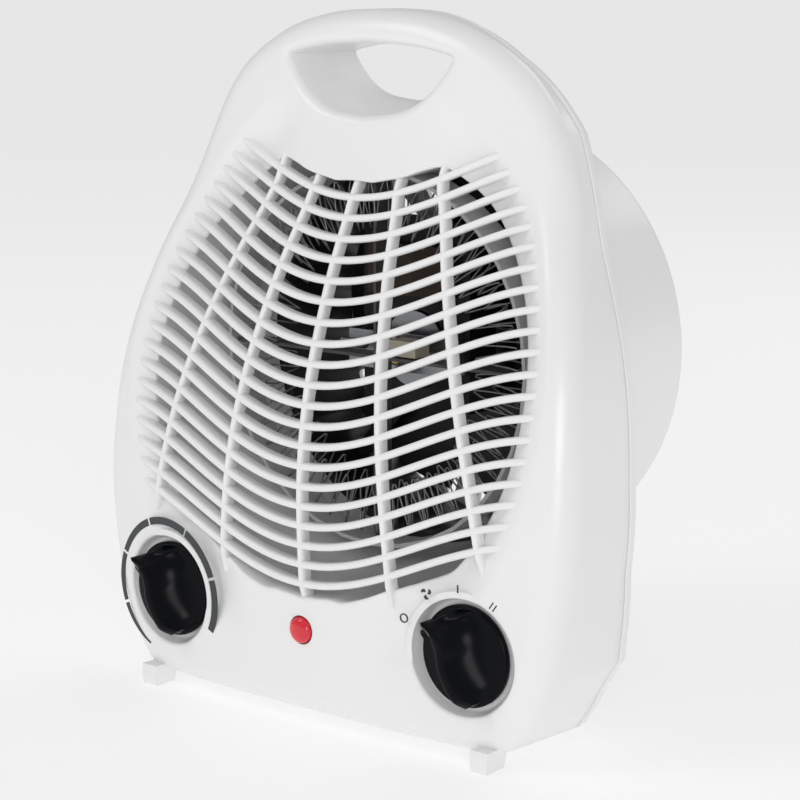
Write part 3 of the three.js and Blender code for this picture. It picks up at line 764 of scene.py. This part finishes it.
def knob_grip(radius, top):
    """A curved crest that falls away in a scoop on each side and ends in a pointed tip."""
    rise = DIAL["crest"] - top
    long = radius * GRIP["length"]
    stations, falls, count = [], 12, 40
    for j in range(count + 3):  # the last two stations carry on past the skirt, into the tip
        past = max(0.0, (j - count) / 2)
        v = -radius * math.cos(math.pi * min(1.0, j / count)) * GRIP["length"] - GRIP["shift"]
        place = v + past * GRIP["overhang"]
        middle = GRIP["aside"] + (3.0 if v > 0 else 1.0) * math.sin(math.pi * v / radius / GRIP["length"])
        wide = GRIP["half_crest"] * lerp(0.5, 1, smooth(long, long - 8, v)) * lerp(1, 0.25, past)
        tail = smooth(-radius - 2.0, -radius + 6, v)
        height = rise * (1 - 0.07 * (v / radius) ** 2) * lerp(0.45, 1, tail)
        base = top + 0.3 + height * 0.3 * smooth(long - 4.0, long - 0.8, v)
        reach_right, reach_left = middle + wide + 0.3, middle - wide - 0.3
        if past == 0:
            chord = math.sqrt(max(0.0, (radius - 0.4) ** 2 - v * v))
            reach_right, reach_left = max(chord, reach_right), min(-chord, reach_left)
        right, left = [], []
        for k in range(falls + 1):
            p = k / falls
            level = top + lerp(height, base - top, 1 - (1 - p) ** GRIP["fall"])
            right.append((lerp(middle + wide, reach_right, p ** GRIP["spread"]), level, place))
            left.append((lerp(middle - wide, reach_left, p ** GRIP["spread"]), level, place))
        crown = (middle, top + height - 0.7, place)
        under = [(side[-1][0], base + 0.6, place) for side in (right, left)]
        stations.append([crown] + right + under + left[::-1])
    return skin(stations)


def knob_part():
    radius, top = DIAL["knob_r"], DIAL["floor"] - SKIRT
    return merge([knob_skirt(radius, top), knob_grip(radius, top)])


def turned(part, x, z, degrees):
    """part, drawn about the Y axis, turned anticlockwise as seen from the front and moved to (x, z)."""
    points, faces = part
    c, s = math.cos(math.radians(degrees)), math.sin(math.radians(degrees))
    return [(x + px * c - pz * s, y, z + px * s + pz * c) for px, y, pz in points], faces


def make_knob(name, sign, body):
    part = turned(knob_part(), sign * DIAL["x"], DIAL["z"], DIAL["turn"])
    knob = build(name + "_finished", part, BLACK, 50)
    return own(knob, body, "knob", name)


def printed(loop):
    """A mark printed on the face: a thin layer that follows it."""
    lift, sunk = 0.10, 0.25
    return skin([[(x, face_y(x, z) + depth, z) for x, z in loop] for depth in (sunk, -lift)])


def band(x0, z0, inner, outer_start, outer_end, start, end, steps):
    """Part of a ring on the face, as short pieces; angles are degrees clockwise from the top."""
    parts = []
    for i in range(steps):
        corners = []
        for r_of, order in ((lambda t: inner, (0, 1)), (lambda t: lerp(outer_start, outer_end, t), (1, 0))):
            for k in order:
                t = (i + k) / steps
                a = math.radians(lerp(start, end, t))
                corners.append((x0 + r_of(t) * math.sin(a), z0 + r_of(t) * math.cos(a)))
        parts.append(printed(corners))
    return parts


def make_scale():
    """The heat scale round the left dial: a band that grows wider, in six pieces."""
    stops = [-157, -111, -67, -21, 25, 71, 117]
    inner, most, growth = 25.0, 3.0, 2.2

    def outer(angle):
        return inner + most - growth * math.exp(-(angle - stops[0]) / 60)

    parts = []
    for a, b in zip(stops, stops[1:]):
        parts += band(-DIAL["x"] - 0.6, DIAL["z"], inner, outer(a), outer(b), a + 1.2, b - 1.2, 10)
    return own(build("heat_scale_print", merge(parts), INK), "casing", "knob")


def make_switch_marks():
    x0, z0, r = DIAL["x"] - 0.8, DIAL["z"] - 0.4, 24.6

    def place(degrees):
        a = math.radians(degrees)
        return x0 + r * math.sin(a), z0 + r * math.cos(a)

    parts = []
    ox, oz = place(-64)
    parts += band(ox, oz, 1.25, 1.7, 1.7, 0, 360, 24)
    fx, fz = place(-31)
    for k in range(3):
        turn = TAU * k / 3
        blade = [(0.5, 0.0), (1.5, -0.2), (2.0, 0.5), (1.7, 1.4), (1.0, 1.7), (0.9, 0.8)]
        c, s = math.cos(turn), math.sin(turn)
        parts.append(printed([(fx + u * c - v * s, fz + u * s + v * c) for u, v in blade]))
    for degrees, strokes in ((0, (0,)), (34, (-0.75, 0.75))):
        x, z = place(degrees)
        c, s = math.cos(math.radians(degrees)), math.sin(math.radians(degrees))
        for middle in strokes:
            left, right = middle - 0.22, middle + 0.22
            corners = [(left, -1.4), (right, -1.4), (right, 1.4), (left, 1.4)]
            parts.append(printed([(x + u * c + v * s, z - u * s + v * c) for u, v in corners]))
    return own(build("switch_marks_print", merge(parts), INK), "casing", "knob")


def make_lens():
    profile = [(0, -50), (4.9, -50), (4.9, -56.4), (4.6, -57.3)]
    for a in range(15, 91, 15):  # the dome
        turn = math.radians(a)
        profile.append((4.6 * math.cos(turn), -57.3 - 1.6 * math.sin(turn)))
    return own(build("indicator_lens_finished", lathe(profile, 0, LAMP["z"]), RED, 40), "casing", "lens",
               "indicator_lens")


# ---- inside ----
# a fan blade: half the angle it spans and how far it is pitched, each at its root and its tip, then its sweep,
# cup and half thickness
BLADE = {"count": 5, "root": 10, "half": (0.62, 0.44), "pitch": (6.0, 4.0), "sweep": 0.3, "cup": 0.9,
         "thick": 0.75}


def make_fan():
    """Cupped blades on a domed hub."""
    low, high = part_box("fan_wheel")
    front, back = low[1] / MM, high[1] / MM
    tip = (high[0] - low[0]) / MM / 2
    parts = []
    for k in range(BLADE["count"]):
        rings = []
        for i in range(13):
            t = i / 12
            r = lerp(BLADE["root"], tip - 0.5, t)
            half = lerp(*BLADE["half"], t) * (1 - 0.12 * smooth(0.8, 1, t))
            pitch = lerp(*BLADE["pitch"], t)
            top, under = [], []
            for j in range(11):
                u = -1 + 0.2 * j
                a = TAU * k / BLADE["count"] + BLADE["sweep"] * t + u * half
                y = (front + back) / 2 + u * pitch + BLADE["cup"] * (u * u - 0.5)
                thick = BLADE["thick"] * (1 - 0.55 * u * u)
                top.append((r * math.cos(a), y - thick, AXIS_Z + r * math.sin(a)))
                under.append((r * math.cos(a), y + thick, AXIS_Z + r * math.sin(a)))
            rings.append(top + under[::-1])
        parts.append(skin(rings))
    hub = [(0, front), (11, front), (12.6, front + 1.2), (13, back - 2), (12, back), (0, back)]
    parts.append(lathe(hub, 0, AXIS_Z))
    return own(build("fan_wheel_finished", merge(parts), DARK, 40), "fan", "dark_plastic", "fan_wheel")


def wire(name, points, radius, look, closed=False):
    curve = bpy.data.curves.new(name, "CURVE")
    curve.dimensions = "3D"
    curve.bevel_depth = radius * MM
    curve.bevel_resolution = 3
    curve.use_fill_caps = True
    line = curve.splines.new("POLY")
    line.points.add(len(points) - 1)
    for slot, p in zip(line.points, points):
        slot.co = (p[0] * MM, p[1] * MM, p[2] * MM, 1)
    line.use_cyclic_u = closed
    line.use_smooth = True
    curve.materials.append(look)
    made = bpy.data.objects.new(name, curve)
    bpy.context.scene.collection.objects.link(made)
    return made


def make_coil(node, turns):
    """Heating wire wound to and fro round the frame."""
    low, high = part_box(node)
    middle, half = (low[1] + high[1]) / 2 / MM, 0.9
    points = []
    per_turn = 10
    for i in range(turns * per_turn):
        a = TAU * i / (turns * per_turn)
        w = TAU * i / per_turn
        r = 56 + 9.5 * math.sin(w)
        points.append((r * math.cos(a), middle + half * math.cos(w), AXIS_Z + r * math.sin(a)))
    return own(wire(node + "_wound", points, 0.34, WIRE, closed=True), "casing", "ribbon", node)


def make_cord():
    """The same run as the frame's cord: out of the grip, round the hank on the floor, to the plug."""
    points = [(-28.4, -22, 17), (-44, -12, 20), (CORD["x"], 1, 26), (CORD["x"], 14, 26), (CORD["x"], 25, 26)]
    start, end, per_turn = 160, -810, 7.5
    for i in range(33):
        degrees = lerp(start, end, i / 32)
        a = math.radians(degrees)
        points.append((42 * math.cos(a), 34 + (start - degrees) / 360 * per_turn, 18.4 + 15 * math.sin(a)))
    points += [(-16, 54, 3.6), (-34, 50, 5), (-45, 43, 7), (-50, 41.4, 7.5), (-53, 41, 7.5)]
    cord = wire("power_cord_round", spline(points, 400), CORD["r"], RUBBER)
    return own(cord, "casing", "cable", "power_cord")


def make_grip():
    """A ribbed strain relief where the cord leaves the case."""
    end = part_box("cord_grip")[1][1] / MM
    profile = [(3.7, REAR_R + 0.3), (7, REAR_R + 0.3), (7, REAR_R + 3), (6.2, REAR_R + 3.6)]
    y = REAR_R + 4
    while y < end - 1:
        profile += [(4.3, y), (4.3, y + 0.7), (5.0, y + 0.9), (5.0, y + 1.7)]
        y += 2
    profile += [(4.2, end), (3.5, end)]
    grip = build("cord_grip_ribbed", lathe(profile, CORD["x"], CORD["z"]), DARK, 40)
    return own(grip, "casing", "dark_plastic", "cord_grip")


def make_screws():
    for number, (x, z) in enumerate([(s * x, z) for x, z in SCREWS for s in (-1, 1)], 1):
        node = f"case_screw_{number}"
        low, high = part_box(node)
        x, z, end = (low[0] + high[0]) / 2 / MM, (low[2] + high[2]) / 2 / MM, high[1] / MM
        profile = [(0.5, -10), (1.3, -9), (1.3, REAR_R), (3.4, REAR_R + 0.3), (3.5, end - 0.8),
                   (2.8, end - 0.2), (0, end)]
        head = build(node + "_finished", lathe(profile, x, z, 32), STEEL, 35)
        for wide, tall in ((0.45, 2.1), (2.1, 0.45)):
            loop = [(x - wide, z - tall), (x + wide, z - tall), (x + wide, z + tall), (x - wide, z + tall)]
            boolean(head, skin([[(a, y, b) for a, b in loop] for y in (end - 1.3, end + 1)]), "DIFFERENCE")
        own(head, "casing", "steel", node)


def dress(node, look, bevel):
    """Gives a node that keeps its shape its material and soft edges."""
    thing = frame["nodes"][node]
    thing.data.materials.clear()
    thing.data.materials.append(look)
    edges = thing.modifiers.new("edges", "BEVEL")
    edges.width = bevel * MM
    edges.segments = 3
    edges.limit_method = "ANGLE"
    edges.angle_limit = math.radians(40)
    edges.harden_normals = False


DRESSED = {
    "thermostat_shaft": (STEEL, 0.2), "selector_shaft": (STEEL, 0.2), "thermostat_body": (PHENOLIC, 0.3),
    "selector_switch_body": (CREAM, 0.3), "indicator_neon_bulb": (CREAM, 0.2), "fan_shroud": (DARK, 0.2),
    "fan_retaining_clip": (STEEL, 0.1), "motor_shaft": (STEEL, 0.1), "motor_rotor": (STEEL, 0.2),
    "stator_core": (BLACK_STEEL, 0.3), "stator_winding": (COPPER, 1.5), "motor_bracket_front": (STEEL, 0.4),
    "motor_bracket_rear": (STEEL, 0.4), "front_bearing": (BRONZE, 0.2), "rear_bearing": (BRONZE, 0.2),
    # the heater frame takes the darkened white plastic, which is painted shade
    "heater_frame": (SHADED_WHITE, 0.1), "mica_board_upright": (MICA, 0.1), "mica_board_left": (MICA, 0.1),
    "mica_board_right": (MICA, 0.1), "thermal_cutout": (CREAM, 0.5), "thermal_fuse": (STEEL, 0.3),
    "terminal_block": (CREAM, 0.5), "plug": (RUBBER, 3.0), "plug_pin_1": (BRONZE, 0.8),
    "plug_pin_2": (BRONZE, 0.8),
    "lead_to_switch": (PHENOLIC, 0.1), "lead_to_lamp": (PHENOLIC, 0.1),
}

make_front_cover()
make_grille()
make_rear_cover()
make_knob("thermostat_knob", -1, "thermostat_control")
make_knob("selector_knob", 1, "selector_control")
make_scale()
make_switch_marks()
make_lens()
make_fan()
make_coil("heating_ribbon_front", 52)
make_coil("heating_ribbon_rear", 52)
make_cord()
make_grip()
make_screws()
for name, (look, bevel) in DRESSED.items():
    dress(name, look, bevel)


# ---- studio ----
def make_floor():
    size = 30.0
    mesh = bpy.data.meshes.new("floor")
    corners = [(-size, -size, 0), (size, -size, 0), (size, size, 0), (-size, size, 0)]
    mesh.from_pydata(corners, [], [(0, 1, 2, 3)])
    floor = bpy.data.objects.new("floor", mesh)
    bpy.context.scene.collection.objects.link(floor)
    mesh.materials.append(material("floor_paper", (0.55, 0.55, 0.55), 0.8, grain=80, bump=0.02, blotch=0.01))
    glow = mesh.materials[0].node_tree.nodes["Principled BSDF"]
    glow.inputs["Emission Color"].default_value = (1, 1, 1, 1)
    glow.inputs["Emission Strength"].default_value = 0.5


def area_light(name, place, target, size, power):
    lamp = bpy.data.lights.new(name, "AREA")
    lamp.shape = "DISK"
    lamp.size = size
    lamp.energy = power
    made = bpy.data.objects.new(name, lamp)
    made.location = place
    made.rotation_euler = (Vector(target) - Vector(place)).to_track_quat("-Z", "Y").to_euler()
    bpy.context.scene.collection.objects.link(made)


def make_studio():
    world = bpy.data.worlds.new("studio")
    bpy.context.scene.world = world
    world.use_nodes = True
    nodes, links = world.node_tree.nodes, world.node_tree.links
    nodes["Background"].inputs["Color"].default_value = (1, 1, 1, 1)
    seen = nodes.new("ShaderNodeLightPath")
    strength = nodes.new("ShaderNodeMapRange")
    strength.inputs["To Min"].default_value = 0.5
    strength.inputs["To Max"].default_value = 0.95
    links.new(seen.outputs["Is Camera Ray"], strength.inputs["Value"])
    links.new(strength.outputs["Result"], nodes["Background"].inputs["Strength"])
    aim = (0, 0, 0.12)
    area_light("key", (-0.7, -1.1, 1.3), aim, 0.9, 5)
    area_light("fill", (1.1, -1.2, 0.45), aim, 0.7, 6)
    area_light("back", (0.2, 1.3, 1.2), aim, 1.0, 3)


def make_camera():
    eye, target = Vector((520.8, -642.5, 266.9)) * MM, Vector((2.22, -3.18, 112.75)) * MM
    camera = bpy.data.cameras.new("camera")
    camera.lens = 102.3
    camera.sensor_width = 36
    made = bpy.data.objects.new("camera", camera)
    made.location = eye
    made.rotation_euler = (target - eye).to_track_quat("-Z", "Y").to_euler()
    bpy.context.scene.collection.objects.link(made)
    bpy.context.scene.camera = made
    bpy.context.scene.view_settings.view_transform = "Standard"


make_floor()
make_studio()
make_camera()
